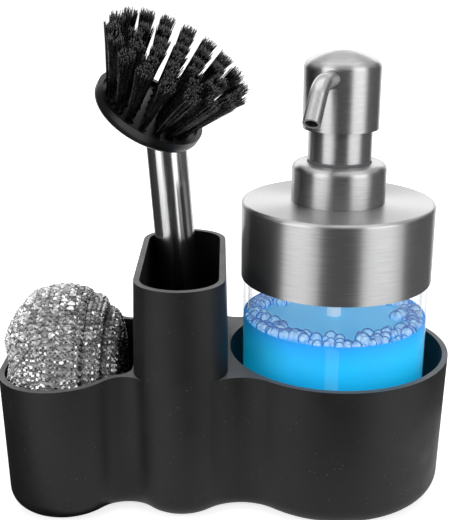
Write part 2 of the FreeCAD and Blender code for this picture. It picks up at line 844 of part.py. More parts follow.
return_spring = feature("return_spring", coil(
    dim.spring_radius.value,
    (spring_low + half_wire).value,
    (spring_high - half_wire).value,
    dim.spring_turns.value,
    dim.spring_wire.value,
))
place(return_spring, **on_axis)

# closure: a nut with a steel skin, held captive between the housing and the lock ring
nut_outer = dim.collar_radius - dim.collar_sheet - dim.fit_gap
nut_top = collar_top - dim.collar_sheet - dim.fit_gap
nut_low = cover_top + dim.fit_gap
nut_round = dim.collar_round - dim.collar_sheet
closure_nut = turned("closure_nut", [
    (dim.nut_bore, nut_low),
    (nut_outer, nut_low),
    (nut_outer, nut_top - nut_round),
    (nut_outer - nut_round, nut_top, nut_round, "right"),
    (dim.nut_lip_bore, nut_top),
    (dim.nut_lip_bore, flange_top + dim.fit_gap),
    (dim.nut_bore, flange_top + dim.fit_gap),
], **on_axis)
skin_inner = dim.collar_radius - dim.collar_sheet
skin_round = dim.collar_round - dim.collar_sheet
collar_shell = turned("collar_shell", [
    (skin_inner, nut_low),
    (dim.collar_radius, nut_low),
    (dim.collar_radius, collar_top - dim.collar_round),
    (dim.collar_radius - dim.collar_round, collar_top, dim.collar_round, "right"),
    (dim.collar_hole, collar_top),
    (dim.collar_hole, collar_top - dim.collar_sheet),
    (skin_inner - skin_round, collar_top - dim.collar_sheet),
    (skin_inner, collar_top - dim.collar_round, skin_round, "left"),
], **on_axis)

# piston, stem and head
head_low = sleeve_top - dim.head_overlap
head_top = head_low + dim.head_height
wall_top, corner_r, corner_z = crown(dim.head_radius, dim.head_corner, dim.head_crown, head_top)
core_shoulder = wall_top - dim.core_shoulder_room
core_top = core_shoulder + dim.core_bevel_rise
core_low = core_shoulder - dim.core_depth
core_boss_low = core_low - dim.core_boss_depth
stem_top = core_low + dim.stem_in_core
spout_height = core_low + dim.spout_in_core
piston_seal = hole(
    "piston_seal",
    dim.barrel_bore - dim.piston_gap,
    dim.stem_radius + dim.fit_gap,
    piston_low,
    piston_high,
    **on_axis,
)
stem = hole("stem", dim.stem_radius, dim.stem_bore, piston_low, stem_top, **on_axis)
stem_plug = hole(
    "stem_plug", dim.stem_bore - dim.fit_gap, 0.8, piston_low, piston_low + dim.stem_plug, **on_axis
)
stem_socket = dim.stem_radius + dim.fit_gap
actuator_core = turned("actuator_core", [
    (stem_socket, core_boss_low),
    (dim.core_boss_radius, core_boss_low),
    (dim.core_boss_radius, core_low),
    (dim.core_radius, core_low),
    (dim.core_radius, core_shoulder),
    (dim.core_radius - dim.core_bevel, core_top),
    (ZERO, core_top),
    (ZERO, stem_top + dim.fit_gap),
    (stem_socket, stem_top + dim.fit_gap),
], **on_axis)
spout_azimuth = -90 - dim.spout_turn.value
spout_rotation = Rotation(Vector(0, 0, 1), spout_azimuth)
outward = spout_rotation.multVec(Vector(1, 0, 0))
along_spout = Rotation(Vector(0, 0, 1), outward)


def on_spout(distance):
    return Placement(outward * as_size(distance).value + Vector(0, 0, spout_height.value), along_spout)


bar(actuator_core, "spout_socket", "Subtractive", dim.spout_radius + dim.fit_gap, dim.head_radius * 2, on_spout(dim.spout_root - dim.fit_gap))
bar(actuator_core, "spout_channel", "Subtractive", dim.spout_bore, dim.spout_root + 1, on_spout(0))

sheet_in = dim.head_sheet
in_top, in_r, in_z = crown(
    dim.head_radius - sheet_in, dim.head_corner - sheet_in, dim.head_crown - sheet_in, head_top - sheet_in
)
dome_shell = turned("dome_shell", [
    (dim.head_radius - sheet_in, head_low),
    (dim.head_radius, head_low),
    (dim.head_radius, wall_top),
    (corner_r, corner_z, dim.head_corner, "right"),
    (ZERO, head_top, dim.head_crown, "right"),
    (ZERO, head_top - sheet_in),
    (in_r, in_z, dim.head_crown - sheet_in, "left"),
    (dim.head_radius - sheet_in, in_top, dim.head_corner - sheet_in, "left"),
], **on_axis)
bar(dome_shell, "spout_hole", "Subtractive", dim.spout_radius + dim.fit_gap, dim.head_radius * 2, on_spout(dim.spout_root))


def build_spout():
    body = new_body("spout")
    angle = dim.spout_angle
    bend_x = dim.spout_straight + dim.spout_bend * sin_of(angle)
    bend_z = spout_height - dim.spout_bend * (1 - cos_of(angle))
    tip_x = bend_x + dim.spout_end * cos_of(angle)
    tip_z = bend_z - dim.spout_end * sin_of(angle)
    stops = [
        (dim.spout_root, spout_height),
        (dim.spout_straight, spout_height),
        (bend_x, bend_z),
        (tip_x, tip_z),
    ]
    flat = [Vector(x.value, y.value, 0) for x, y in stops]
    spine = new_sketch(body, "spout_path")
    first = spine.addGeometry(Part.LineSegment(flat[0], flat[1]), False)
    arc = arc_through(flat[1], flat[2], dim.spout_bend.value, True)
    middle = arc.value((arc.FirstParameter + arc.LastParameter) / 2)
    bend = spine.addGeometry(Part.ArcOfCircle(flat[1], middle, flat[2]), False)
    last = spine.addGeometry(Part.LineSegment(flat[2], flat[3]), False)
    spine.addConstraint(Sketcher.Constraint("Coincident", first, 2, bend, end_at(spine, bend, flat[1])))
    spine.addConstraint(Sketcher.Constraint("Coincident", last, 1, bend, end_at(spine, bend, flat[2])))
    pin(spine, first, 1, *stops[0])
    pin(spine, first, 2, *stops[1])
    pin(spine, last, 1, *stops[2])
    pin(spine, last, 2, *stops[3])
    index = spine.addConstraint(Sketcher.Constraint("Radius", bend, dim.spout_bend.value))
    bind(spine, f"Constraints[{index}]", dim.spout_bend)
    ring = new_sketch(body, "spout_section", "YZ_Plane", dim.spout_root)
    for radius in (dim.spout_radius, dim.spout_bore):
        circle = Part.Circle(Vector(0, spout_height.value, 0), Vector(0, 0, 1), radius.value)
        geo = ring.addGeometry(circle, False)
        index = ring.addConstraint(Sketcher.Constraint("Radius", geo, radius.value))
        bind(ring, f"Constraints[{index}]", radius)
        pin(ring, geo, 3, ZERO, spout_height)
    doc.recompute()
    pipe = body.newObject("PartDesign::AdditivePipe", "spout_pipe")
    pipe.Profile = ring
    pipe.Spine = (spine, ["Edge1", "Edge2", "Edge3"])
    place(body, dim.bottle_x, ZERO, ZERO, spout_rotation)
    doc.recompute()
    return body


spout = build_spout()

# dish brush: the handle stands along its own leaning axis, and the head is set across the top of it
lean = Vector(dim.brush_lean_x.value, dim.brush_lean_y.value, 1)
handle_way = Vector(lean).normalize()
foot_z = dim.brush_foot_z
drop = dim.tower_height - foot_z
brush_rim_x = dim.tower_x - tower_half_width + dim.wall + dim.handle_radius + dim.brush_side_gap
tower_back = dim.tower_end_y + dim.tower_end_radius - dim.wall
brush_rim_y = tower_back - dim.handle_radius - dim.brush_back_gap
foot = (brush_rim_x - dim.brush_lean_x * drop, brush_rim_y - dim.brush_lean_y * drop, foot_z)
upright = Rotation(Vector(0, 0, 1), handle_way)
on_handle = Placement(Vector(*[v.value for v in foot]), upright)
tube_bore = dim.handle_radius - dim.handle_sheet
tube_low = dim.plug_flange + dim.fit_gap
tube_top = dim.handle_length


def on_brush(body):
    place(body, *foot, upright)
    doc.recompute()
    return body


handle_tube = on_brush(hole("handle_tube", dim.handle_radius, tube_bore, tube_low, tube_top))
handle_end_plug = on_brush(turned("handle_end_plug", [
    (ZERO, ZERO),
    (dim.handle_radius - 0.8, ZERO),
    (dim.handle_radius, as_size(0.8)),
    (dim.handle_radius, dim.plug_flange),
    (tube_bore - dim.fit_gap, dim.plug_flange),
    (tube_bore - dim.fit_gap, dim.plug_depth),
    (ZERO, dim.plug_depth),
]))
collar_low = tube_top + dim.fit_gap
collar_high = collar_low + dim.collar_ring
head_collar = on_brush(turned("head_collar", [
    (dim.spigot_radius + dim.fit_gap, tube_top - dim.collar_depth),
    (tube_bore - dim.fit_gap, tube_top - dim.collar_depth),
    (tube_bore - dim.fit_gap, collar_low),
    (dim.collar_ring_radius, collar_low),
    (dim.collar_ring_radius, collar_high),
    (dim.spigot_radius + dim.fit_gap, collar_high),
]))
dish_axis = Vector(dim.dish_axis_x.value, dim.dish_axis_y.value, dim.dish_axis_z.value).normalize()
handle_top = on_handle.multVec(Vector(0, 0, dim.handle_length.value))
dish_shift = Vector(
    dim.dish_from_handle_x.value, dim.dish_from_handle_y.value, dim.dish_from_handle_z.value
)
on_head = Placement(handle_top + dish_shift, Rotation(Vector(0, 0, 1), dish_axis))


def build_brush_head():
    body = new_body("brush_head_blank")
    to_head = on_handle.inverse().multiply(on_head)
    below = to_head.multiply(Placement(Vector(0, 0, -dim.dish_height.value), Rotation()))
    above = to_head.multiply(Placement(Vector(0, 0, -dim.dish_recess.value), Rotation()))
    neck_low = collar_high + dim.fit_gap

    def up_handle(size):
        return Placement(Vector(0, 0, size.value), Rotation())

    bar(body, "head_dish", "Additive", dim.dish_radius, dim.dish_height, below)
    low_edge = lambda e: abs((to_head.inverse().multVec(e.CenterOfMass)).z + dim.dish_height.value) < 0.01
    round_edges(body, "dish_back_round", low_edge, dim.dish_round)
    bar(body, "collar_room", "Subtractive", dim.collar_ring_radius + dim.collar_room, 30, up_handle(neck_low - 30))
    bar(body, "head_neck", "Additive", dim.handle_radius, dim.neck_length, up_handle(neck_low))
    bar(body, "head_spigot", "Additive", dim.spigot_radius, dim.spigot_depth + 1, up_handle(neck_low - dim.spigot_depth))
    bar(body, "head_recess", "Subtractive", dim.dish_radius - dim.dish_lip, 40, above)
    return on_brush(body)


brush_head_blank = build_brush_head()


def tuft_lines():
    """Root and tip of every tuft, in rings, in the dish's own frame."""
    floor = -dim.dish_recess.value
    lines = [(Vector(0, 0, floor), Vector(0, 0, 1))]
    for ring in range(1, RING_COUNT + 1):
        count = FIRST_RING_COUNT * ring
        for i in range(count):
            angle = 2 * math.pi * (i + 0.5 * (ring % 2)) / count
            out = Vector(math.cos(angle), math.sin(angle), 0)
            root = out * (dim.tuft_root_ring.value * ring) + Vector(0, 0, floor)
            tip = out * (dim.tuft_tip_ring.value * ring) + Vector(0, 0, floor + dim.tuft_length.value)
            lines.append((root, (tip - root).normalize()))
    return lines


def group(label, pieces):
    compound = doc.addObject("Part::Compound", label)
    compound.Label = label
    compound.Links = pieces
    return compound


def build_tufts():
    holes = []
    tufts = []
    anchors = []
    seat = dim.tuft_hole_depth
    for i, (root, way) in enumerate(tuft_lines(), 1):
        turn = Rotation(Vector(0, 0, 1), way)

        def at(depth):
            return on_head.multiply(Placement(root - way * as_size(depth).value, turn))

        socket = doc.addObject("Part::Cylinder", f"tuft_hole_{i}")
        bind(socket, "Radius", dim.tuft_hole)
        bind(socket, "Height", seat + 2)
        socket.Placement = at(seat)
        holes.append(socket)
        anchor = doc.addObject("Part::Cylinder", f"tuft_anchor_{i}")
        bind(anchor, "Radius", dim.anchor_radius)
        bind(anchor, "Height", dim.anchor_height)
        anchor.Placement = at(seat - 0.02)
        anchors.append(anchor)
        tuft = doc.addObject("Part::Cone", f"tuft_{i}")
        set_back = seat - dim.anchor_height - 0.06
        bind(tuft, "Radius1", dim.tuft_root_radius)
        bind(tuft, "Radius2", dim.tuft_tip_radius)
        bind(tuft, "Height", dim.tuft_length + set_back)
        tuft.Placement = at(set_back)
        tufts.append(tuft)
    return group("tuft_holes", holes), group("bristle_tufts", tufts), group("tuft_anchors", anchors)


tuft_holes, bristle_tufts, tuft_anchors = build_tufts()
doc.recompute()
brush_head = doc.addObject("Part::Cut", "brush_head")
brush_head.Base = brush_head_blank
brush_head.Tool = tuft_holes
brush_head.Label = "brush_head"
doc.recompute()

NODES = [
    caddy_body, scourer, handle_tube, handle_end_plug, head_collar, brush_head, bristle_tufts, tuft_anchors,
    bottle, cover_shell, soap_fill, neck_gasket, pump_housing, lock_ring, sleeve_shell, inlet_ball, return_spring,
    dip_tube, closure_nut, collar_shell, piston_seal, stem, stem_plug, actuator_core, dome_shell, spout,
]

broken = [thing.Label for thing in doc.Objects if "Invalid" in thing.State or "Error" in thing.State]
broken += [node.Label for node in NODES if node.Shape.isNull() or not node.Shape.isValid()]
if broken:
    raise SystemExit("not built: " + ", ".join(broken))

os.makedirs("parts", exist_ok=True)
for node in NODES:
    node.Shape.exportStep(os.path.join("parts", f"{node.Label}.step"))
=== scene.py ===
"""A moulded rubber sink caddy with a soap pump, a dish brush and a knitted steel scourer."""

import math
import random

import bpy
import numpy as np
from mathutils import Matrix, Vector


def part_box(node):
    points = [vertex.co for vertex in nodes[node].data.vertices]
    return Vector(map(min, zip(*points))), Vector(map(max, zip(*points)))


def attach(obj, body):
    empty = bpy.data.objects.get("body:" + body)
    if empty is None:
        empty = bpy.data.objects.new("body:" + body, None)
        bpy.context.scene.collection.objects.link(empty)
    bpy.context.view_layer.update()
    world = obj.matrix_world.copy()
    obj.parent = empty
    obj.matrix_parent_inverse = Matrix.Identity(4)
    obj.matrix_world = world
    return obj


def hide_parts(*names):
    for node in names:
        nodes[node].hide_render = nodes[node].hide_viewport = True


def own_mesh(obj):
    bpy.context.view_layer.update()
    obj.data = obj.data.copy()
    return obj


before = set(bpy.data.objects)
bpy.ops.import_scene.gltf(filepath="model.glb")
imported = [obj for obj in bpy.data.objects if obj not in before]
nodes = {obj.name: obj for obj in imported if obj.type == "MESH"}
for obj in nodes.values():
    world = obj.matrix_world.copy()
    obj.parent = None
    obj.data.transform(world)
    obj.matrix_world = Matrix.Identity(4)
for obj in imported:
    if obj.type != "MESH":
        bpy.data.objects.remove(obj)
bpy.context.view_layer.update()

MM = 0.001

# places and sizes that follow the solids
PUMP_X = 44.35 * MM
BOTTLE_INNER = 37.0 * MM
BOTTLE_FLOOR = 7.0 * MM
SOAP_TOP = 77.5 * MM
SCOURER_MIDDLE = Vector((-68.5, 0.0, 44.7)) * MM
DISH_CENTRE = Vector((-34.4, 28.6, 161.5)) * MM
DISH_AXIS = Vector((0.48, -0.30, 0.8243)).normalized()
DISH_RECESS = 2.0 * MM
TUFT_RINGS = (1, 2, 3)
TUFTS_IN_FIRST_RING = 6
TUFT_ROOT_RING = 6.2 * MM
TUFT_TIP_RING = 10.25 * MM
TUFT_RISE = 29.5 * MM

# filaments of a tuft, laid out as a spiral that widens from root to tip
FILAMENTS = 72
FILAMENT_RADIUS = 0.22 * MM
FILAMENT_BOW = 0.5 * MM
SPIRAL_TURN = 2.39996
ROOT_SPREAD = 1.25
MIDDLE_SPREAD = 1.5
TIP_SPREAD = 3.6
# every ninth filament gets a paler finish all over: a painted highlight streak standing in for gloss on the
# filaments
HIGHLIGHT_STREAK_EVERY = 9
HIGHLIGHT_STREAK_FIRST = 4

# the pad's slack top: where it starts to swell, how far, and its crown
SWELL_EDGE = 4 * MM
SWELL_FADE = 14 * MM
SWELL_FOOT = 42 * MM
SWELL_RIM = 61 * MM
SWELL_RIM_FADE = 7 * MM
SWELL_IN_WELL = 1.5 * MM
SWELL_AT_FLANK = 5.0 * MM
SWELL_OVER_RIM = 6.8 * MM
FLANK = 30 * MM
CROWN_START = 62 * MM
CROWN_FADE = 24 * MM
CROWN_RISE = 2.4 * MM

# shares of the pad's outline at which the inside and the loops lie, across and along
INSIDE_REACH = 0.962
INSIDE_LEVEL = 0.965
LOOP_REACH = 0.972
LOOP_LEVEL = 0.97

# loops of the knit; stations are places in the pad's outline
FIRST_ROW = 1.2 * MM
ROW_PITCH = 2.1 * MM
LAST_ROW_ROOM = 0.8 * MM
LOOP_PITCH = 2.5 * MM
LEAST_LOOPS = 3
SLOPE_STEP = 0.6 * MM
# FOLD_STATIONS and SHADED_STATION set where rows of loops get the painted shade
FOLD_STATIONS = (10, 15)
SHADED_STATION = 18
LOOP_LONG = 1.12
LOOP_WIDE = 0.86
LOOP_HIGH = 1.7
LOOP_STAND = 0.2 * MM
LOOP_SCATTER = 0.18
LOOP_LEAN = 38
LEAN_SCATTER = 14
TIP_SCATTER = 24

# soap: how far it is drawn into the wall, and each step of its hollow edge as (width, sink)
SOAP_IN_WALL = 1.9 * MM
SOAP_FLOOR_ROOM = 0.1 * MM
SOAP_EDGE = ((0.5, 0.7), (0.8, 0.4), (1.5, 0.15))
BUBBLES = 460
BUBBLE_SIZES = (0.8, 1.0, 1.2, 1.5, 1.9, 2.4, 3.0)
BUBBLE_DRIFT = 4.5
BUBBLE_DRIFT_LIMIT = 13.0
BUBBLE_WALL_ROOM = 0.05 * MM
BUBBLE_SINK = 1.1 * MM

# wound spring
SPRING_WIRE = 0.45 * MM
SPRING_RADIUS = 5.4 * MM
SPRING_TURNS = 6
SPRING_STEPS = 24

# brushed marks: how fine across, and how slowly they change round the pump
BRUSH_MARKS = (2600.0, 2600.0, 0.0)
BRUSH_TURN = 3.0

# colour sockets of a mix node
MIX_SHARE = 0
MIX_FIRST = 6
MIX_SECOND = 7
MIX_RESULT = 2


def deselect_all():
    bpy.ops.object.select_all(action="DESELECT")


def to_linear(red, green, blue):
    """A colour as the eye reads it, 0 to 255, as the light values that the shader takes."""
    return tuple(((v / 255) ** 2.2) for v in (red, green, blue)) + (1.0,)


# finishes


def new_finish(name, **settings):
    """A material with one shader, and the settings that are the same all over it."""
    finish = bpy.data.materials.new(name)
    finish.use_nodes = True
    shader = finish.node_tree.nodes["Principled BSDF"]
    for socket, value in settings.items():
        shader.inputs[socket.replace("_", " ")].default_value = value
    return finish, finish.node_tree, shader


def feed(tree, socket, value):
    """Gives a socket a fixed value, or links another node's output to it."""
    if hasattr(value, "is_output"):
        tree.links.new(value, socket)
    else:
        socket.default_value = value


def add_node(tree, kind, settings=None, **inputs):
    node = tree.nodes.new(kind)
    for name, value in (settings or {}).items():
        setattr(node, name, value)
    for name, value in inputs.items():
        feed(tree, node.inputs[name.replace("_", " ")], value)
    return node


def calculate(tree, operation, *values, kind="ShaderNodeMath", result="Value"):
    """The result of a sum on numbers or vectors, each fixed or from another node."""
    node = add_node(tree, kind, {"operation": operation})
    for socket, value in zip(node.inputs, values):
        feed(tree, socket, value)
    return node.outputs[result]


def share_between(tree, value, low, high):
    """0 at low, 1 at high, and even steps between."""
    return add_node(tree, "ShaderNodeMapRange", Value=value, From_Min=low, From_Max=high).outputs["Result"]


def place_in_piece(tree, scale=(1, 1, 1), shift=(0, 0, 0)):
    """Object coordinates, moved and then stretched."""
    where = add_node(tree, "ShaderNodeTexCoord").outputs["Object"]
    moved = add_node(tree, "ShaderNodeMapping", Vector=where, Location=shift).outputs["Vector"]
    return add_node(tree, "ShaderNodeMapping", Vector=moved, Scale=scale).outputs["Vector"]


def facing_up(tree):
    """How far a face looks up, from -1 to 1."""
    surface = add_node(tree, "ShaderNodeNewGeometry")
    return add_node(tree, "ShaderNodeSeparateXYZ", Vector=surface.outputs["Normal"]).outputs["Z"]


def speckle(tree, where, scale, detail=3.0, roughness=0.6):
    noise = add_node(
        tree, "ShaderNodeTexNoise", Vector=where, Scale=scale, Detail=detail, Roughness=roughness
    )
    return noise.outputs["Fac"]


def ramp(tree, value, stops):
    """Colours or greys along a value. A stop is (place, colour)."""
    node = add_node(tree, "ShaderNodeValToRGB", Fac=value)
    elements = node.color_ramp.elements
    while len(elements) < len(stops):
        elements.new(0.5)
    for element, (place, colour) in zip(elements, stops):
        element.position = place
        element.color = colour if hasattr(colour, "__len__") else (colour, colour, colour, 1.0)
    return node.outputs["Color"]


def blend_colours(tree, share, first, second, mode="MIX"):
    node = add_node(tree, "ShaderNodeMix", {"data_type": "RGBA", "blend_type": mode})
    feed(tree, node.inputs[MIX_SHARE], share)
    feed(tree, node.inputs[MIX_FIRST], first)
    feed(tree, node.inputs[MIX_SECOND], second)
    return node.outputs[MIX_RESULT]


def raise_surface(tree, shader, height, strength, distance):
    bump = add_node(tree, "ShaderNodeBump", Height=height, Strength=strength, Distance=distance)
    tree.links.new(bump.outputs["Normal"], shader.inputs["Normal"])


def rubber_finish():
    """Black rubber with specks of dust, and a painted highlight that makes it paler where it faces up."""
    finish, tree, shader = new_finish("moulded_rubber", Specular_IOR_Level=0.3)
    where = place_in_piece(tree)
    cloud = speckle(tree, where, scale=45.0, detail=4.0)
    base = ramp(tree, cloud, [(0.3, to_linear(19, 19, 19)), (0.7, to_linear(26, 26, 26))])
    dust = add_node(tree, "ShaderNodeTexVoronoi", Vector=where, Scale=520.0).outputs["Distance"]
    specks = ramp(tree, dust, [(0.0, 1.0), (0.09, 1.0), (0.13, 0.0)])
    patches = ramp(tree, speckle(tree, where, scale=160.0, detail=2.0), [(0.5, 0.0), (0.64, 0.8)])
    share = blend_colours(tree, 1.0, specks, patches, "MULTIPLY")
    colour = blend_colours(tree, share, base, to_linear(96, 96, 97))
    # painted highlight: faces that look up are blended paler, standing in for light falling from above
    painted_top_highlight = ramp(tree, facing_up(tree), [(0.55, 0.0), (0.95, 0.8)])
    colour = blend_colours(tree, painted_top_highlight, colour, to_linear(112, 112, 112))
    tree.links.new(colour, shader.inputs["Base Color"])
    gloss = ramp(tree, speckle(tree, where, scale=90.0), [(0.3, 0.46), (0.7, 0.58)])
    tree.links.new(gloss, shader.inputs["Roughness"])
    grain = speckle(tree, where, scale=2600.0, detail=2.0)
    raise_surface(tree, shader, grain, strength=0.12, distance=0.0002)
    return finish


def round_pump(tree):
    """Radius, height and turn about the pump's axis, as one vector for marks that run round it."""
    where = place_in_piece(tree, shift=(-PUMP_X, 0, 0))
    x, y, z = add_node(tree, "ShaderNodeSeparateXYZ", Vector=where).outputs
    flat = add_node(tree, "ShaderNodeCombineXYZ", X=x, Y=y).outputs["Vector"]
    reach = calculate(tree, "LENGTH", flat, kind="ShaderNodeVectorMath")
    around = add_node(tree, "ShaderNodeCombineXYZ", X=reach, Y=z).outputs["Vector"]
    fine = calculate(tree, "MULTIPLY", around, BRUSH_MARKS, kind="ShaderNodeVectorMath", result="Vector")
    turn = calculate(tree, "ARCTAN2", y, x)
    slow = calculate(tree, "MULTIPLY", turn, BRUSH_TURN)
    lift = add_node(tree, "ShaderNodeCombineXYZ", Z=slow).outputs["Vector"]
    return calculate(tree, "ADD", fine, lift, kind="ShaderNodeVectorMath", result="Vector")


def brushed_steel_finish():
    """Steel with fine marks that run round the pump."""
    finish, tree, shader = new_finish(
        "brushed_steel", Metallic=1.0, Anisotropic=0.8, Anisotropic_Rotation=0.25
    )
    marks = add_node(tree, "ShaderNodeTexNoise", Vector=round_pump(tree), Scale=1.0, Detail=3.0)
    lines = marks.outputs["Fac"]
    colour = ramp(tree, lines, [(0.25, to_linear(150, 150, 151)), (0.75, to_linear(170, 170, 171))])
    tree.links.new(colour, shader.inputs["Base Color"])
    tree.links.new(ramp(tree, lines, [(0.2, 0.31), (0.8, 0.4)]), shader.inputs["Roughness"])
    raise_surface(tree, shader, lines, strength=0.05, distance=0.0001)
    way = add_node(tree, "ShaderNodeTangent", {"direction_type": "RADIAL", "axis": "Z"})
    tree.links.new(way.outputs["Tangent"], shader.inputs["Tangent"])
    return finish


def polished_steel_finish(name, gloss):
    """Smooth steel with faint marks drawn out along its height."""
    finish, tree, shader = new_finish(name, Metallic=1.0)
    where = place_in_piece(tree, scale=(900, 900, 25))
    lines = speckle(tree, where, scale=1.0, detail=2.0)
    colour = ramp(tree, lines, [(0.2, to_linear(158, 158, 159)), (0.8, to_linear(180, 180, 181))])
    tree.links.new(colour, shader.inputs["Base Color"])
    tree.links.new(ramp(tree, lines, [(0.2, gloss), (0.8, gloss + 0.08)]), shader.inputs["Roughness"])
    return finish


def black_plastic_finish():
    finish, tree, shader = new_finish("black_plastic", Specular_IOR_Level=0.5)
    where = place_in_piece(tree)
    cloud = speckle(tree, where, scale=120.0)
    colour = ramp(tree, cloud, [(0.3, to_linear(16, 16, 17)), (0.7, to_linear(23, 23, 24))])
    tree.links.new(colour, shader.inputs["Base Color"])
    tree.links.new(ramp(tree, cloud, [(0.3, 0.3), (0.7, 0.42)]), shader.inputs["Roughness"])
    raise_surface(tree, shader, speckle(tree, where, scale=3000.0), strength=0.05, distance=0.0001)
    return finish


def bristle_finish(name, dark, light):
    finish, tree, shader = new_finish(name, Specular_IOR_Level=0.6)
    cloud = speckle(tree, place_in_piece(tree), scale=900.0, detail=2.0)
    tree.links.new(ramp(tree, cloud, [(0.35, dark), (0.65, light)]), shader.inputs["Base Color"])
    tree.links.new(ramp(tree, cloud, [(0.35, 0.2), (0.65, 0.36)]), shader.inputs["Roughness"])
    return finish


def knitted_steel_finish(name, dark, light, gloss, metal):
    finish, tree, shader = new_finish(name, Metallic=metal)
    where = place_in_piece(tree)
    cloud = speckle(tree, where, scale=420.0)
    tree.links.new(ramp(tree, cloud, [(0.3, dark), (0.7, light)]), shader.inputs["Base Color"])
    tree.links.new(ramp(tree, cloud, [(0.3, gloss), (0.7, gloss + 0.14)]), shader.inputs["Roughness"])
    raise_surface(tree, shader, speckle(tree, where, scale=1500.0), strength=0.2, distance=0.0003)
    return finish


def clear_finish(name, colour, facing, edge, gloss):
    """A thin clear wall: nearly open when looked through straight, and closing towards its edges."""
    finish, tree, shader = new_finish(name, Base_Color=colour, Roughness=gloss, Specular_IOR_Level=0.6)
    weight = add_node(tree, "ShaderNodeLayerWeight", Blend=0.35).outputs["Facing"]
    cloud = speckle(tree, place_in_piece(tree), scale=60.0)
    wall = ramp(tree, weight, [(0.0, facing), (0.5, facing * 1.6), (0.85, edge * 0.6), (1.0, edge)])
    mottled = calculate(tree, "MULTIPLY_ADD", cloud, 0.02, wall)
    tree.links.new(mottled, shader.inputs["Alpha"])
    return finish


def soap_finish():
    """Blue soap, deeper to the left, with a painted highlight that makes its level top paler and a low
    painted glow that stands in for light passing through it.
    """
    # painted glow: Emission_Strength makes the soap shine of its own, standing in for light passing through
    # it
    finish, tree, shader = new_finish(
        "blue_soap", Roughness=0.38, Specular_IOR_Level=0.12, Alpha=0.86, Emission_Strength=0.43
    )
    where = place_in_piece(tree, shift=(-PUMP_X, 0, 0))
    parts = add_node(tree, "ShaderNodeSeparateXYZ", Vector=where)
    side = ramp(tree, share_between(tree, parts.outputs["X"], -40 * MM, 40 * MM), [
        (0.0, to_linear(0, 160, 190)),
        (0.25, to_linear(0, 185, 245)),
        (0.6, to_linear(0, 195, 255)),
        (1.0, to_linear(20, 205, 255)),
    ])
    depth = ramp(tree, share_between(tree, parts.outputs["Z"], 50 * MM, SOAP_TOP), [
        (0.0, 1.0),
        (0.72, to_linear(240, 250, 255)),
        (0.9, to_linear(200, 226, 255)),
        (0.985, to_linear(160, 208, 246)),
    ])
    colour = blend_colours(tree, 1.0, side, depth, "MULTIPLY")
    # painted highlight: faces that look up are blended paler, standing in for light on the level top
    level = ramp(tree, facing_up(tree), [(0.8, 0.0), (0.97, 0.75)])
    colour = blend_colours(tree, level, colour, to_linear(110, 212, 255))
    cloud = ramp(tree, speckle(tree, where, scale=70.0), [(0.3, 0.92), (0.7, 1.0)])
    colour = blend_colours(tree, 1.0, colour, cloud, "MULTIPLY")
    tree.links.new(colour, shader.inputs["Base Color"])
    tree.links.new(colour, shader.inputs["Emission Color"])
    return finish


def bubble_finish():
    """A soap film: almost clear and white in the middle, blue and closed round the edge, with a painted
    glow of its own.
    """
    # painted glow: Emission_Strength makes the film shine of its own, standing in for light from behind the
    # bottle
    finish, tree, shader = new_finish(
        "soap_bubble", Roughness=0.08, Specular_IOR_Level=0.5, Emission_Strength=0.44
    )
    weight = add_node(tree, "ShaderNodeLayerWeight", Blend=0.5).outputs["Facing"]
    cloud = speckle(tree, place_in_piece(tree), scale=300.0)
    film = ramp(tree, weight, [
        (0.0, to_linear(228, 250, 255)),
        (0.33, to_linear(170, 230, 255)),
        (0.45, to_linear(0, 112, 200)),
        (0.7, to_linear(0, 52, 128)),
    ])
    tint = ramp(tree, cloud, [(0.3, to_linear(222, 240, 255)), (0.7, 1.0)])
    film = blend_colours(tree, 1.0, film, tint, "MULTIPLY")
    tree.links.new(film, shader.inputs["Base Color"])
    tree.links.new(film, shader.inputs["Emission Color"])
    closed = ramp(tree, weight, [(0.0, 0.36), (0.33, 0.2), (0.45, 0.75), (0.7, 0.95)])
    tree.links.new(closed, shader.inputs["Alpha"])
    return finish


def plain_plastic_finish(name, colour, alpha=1.0, glow=0.0):
    finish, tree, shader = new_finish(name, Alpha=alpha, Emission_Color=colour, Emission_Strength=glow)
    cloud = speckle(tree, place_in_piece(tree), scale=200.0)
    darker = tuple(c * 0.88 for c in colour[:3]) + (1.0,)
    tree.links.new(ramp(tree, cloud, [(0.3, darker), (0.7, colour)]), shader.inputs["Base Color"])
    tree.links.new(ramp(tree, cloud, [(0.3, 0.35), (0.7, 0.5)]), shader.inputs["Roughness"])
    return finish


RUBBER = rubber_finish()
BRUSHED = brushed_steel_finish()
POLISHED = polished_steel_finish("polished_steel", gloss=0.13)
SPOUT_STEEL = polished_steel_finish("spout_steel", gloss=0.26)
BLACK = black_plastic_finish()
BRISTLE = bristle_finish("bristle_nylon", dark=to_linear(14, 14, 15), light=to_linear(26, 26, 27))
# painted highlight: a paler copy of the nylon for the filaments that stand in for glints
BRISTLE_PAINTED_HIGHLIGHT = bristle_finish("bristle_painted_highlight", dark=to_linear(52, 52, 53), light=to_linear(92, 92, 93))
BRISTLE_END = bristle_finish("bristle_end", dark=to_linear(84, 84, 86), light=to_linear(160, 160, 162))
WIRE = knitted_steel_finish(
    "scourer_wire", dark=to_linear(142, 142, 143), light=to_linear(226, 226, 226), gloss=0.13, metal=0.7
)
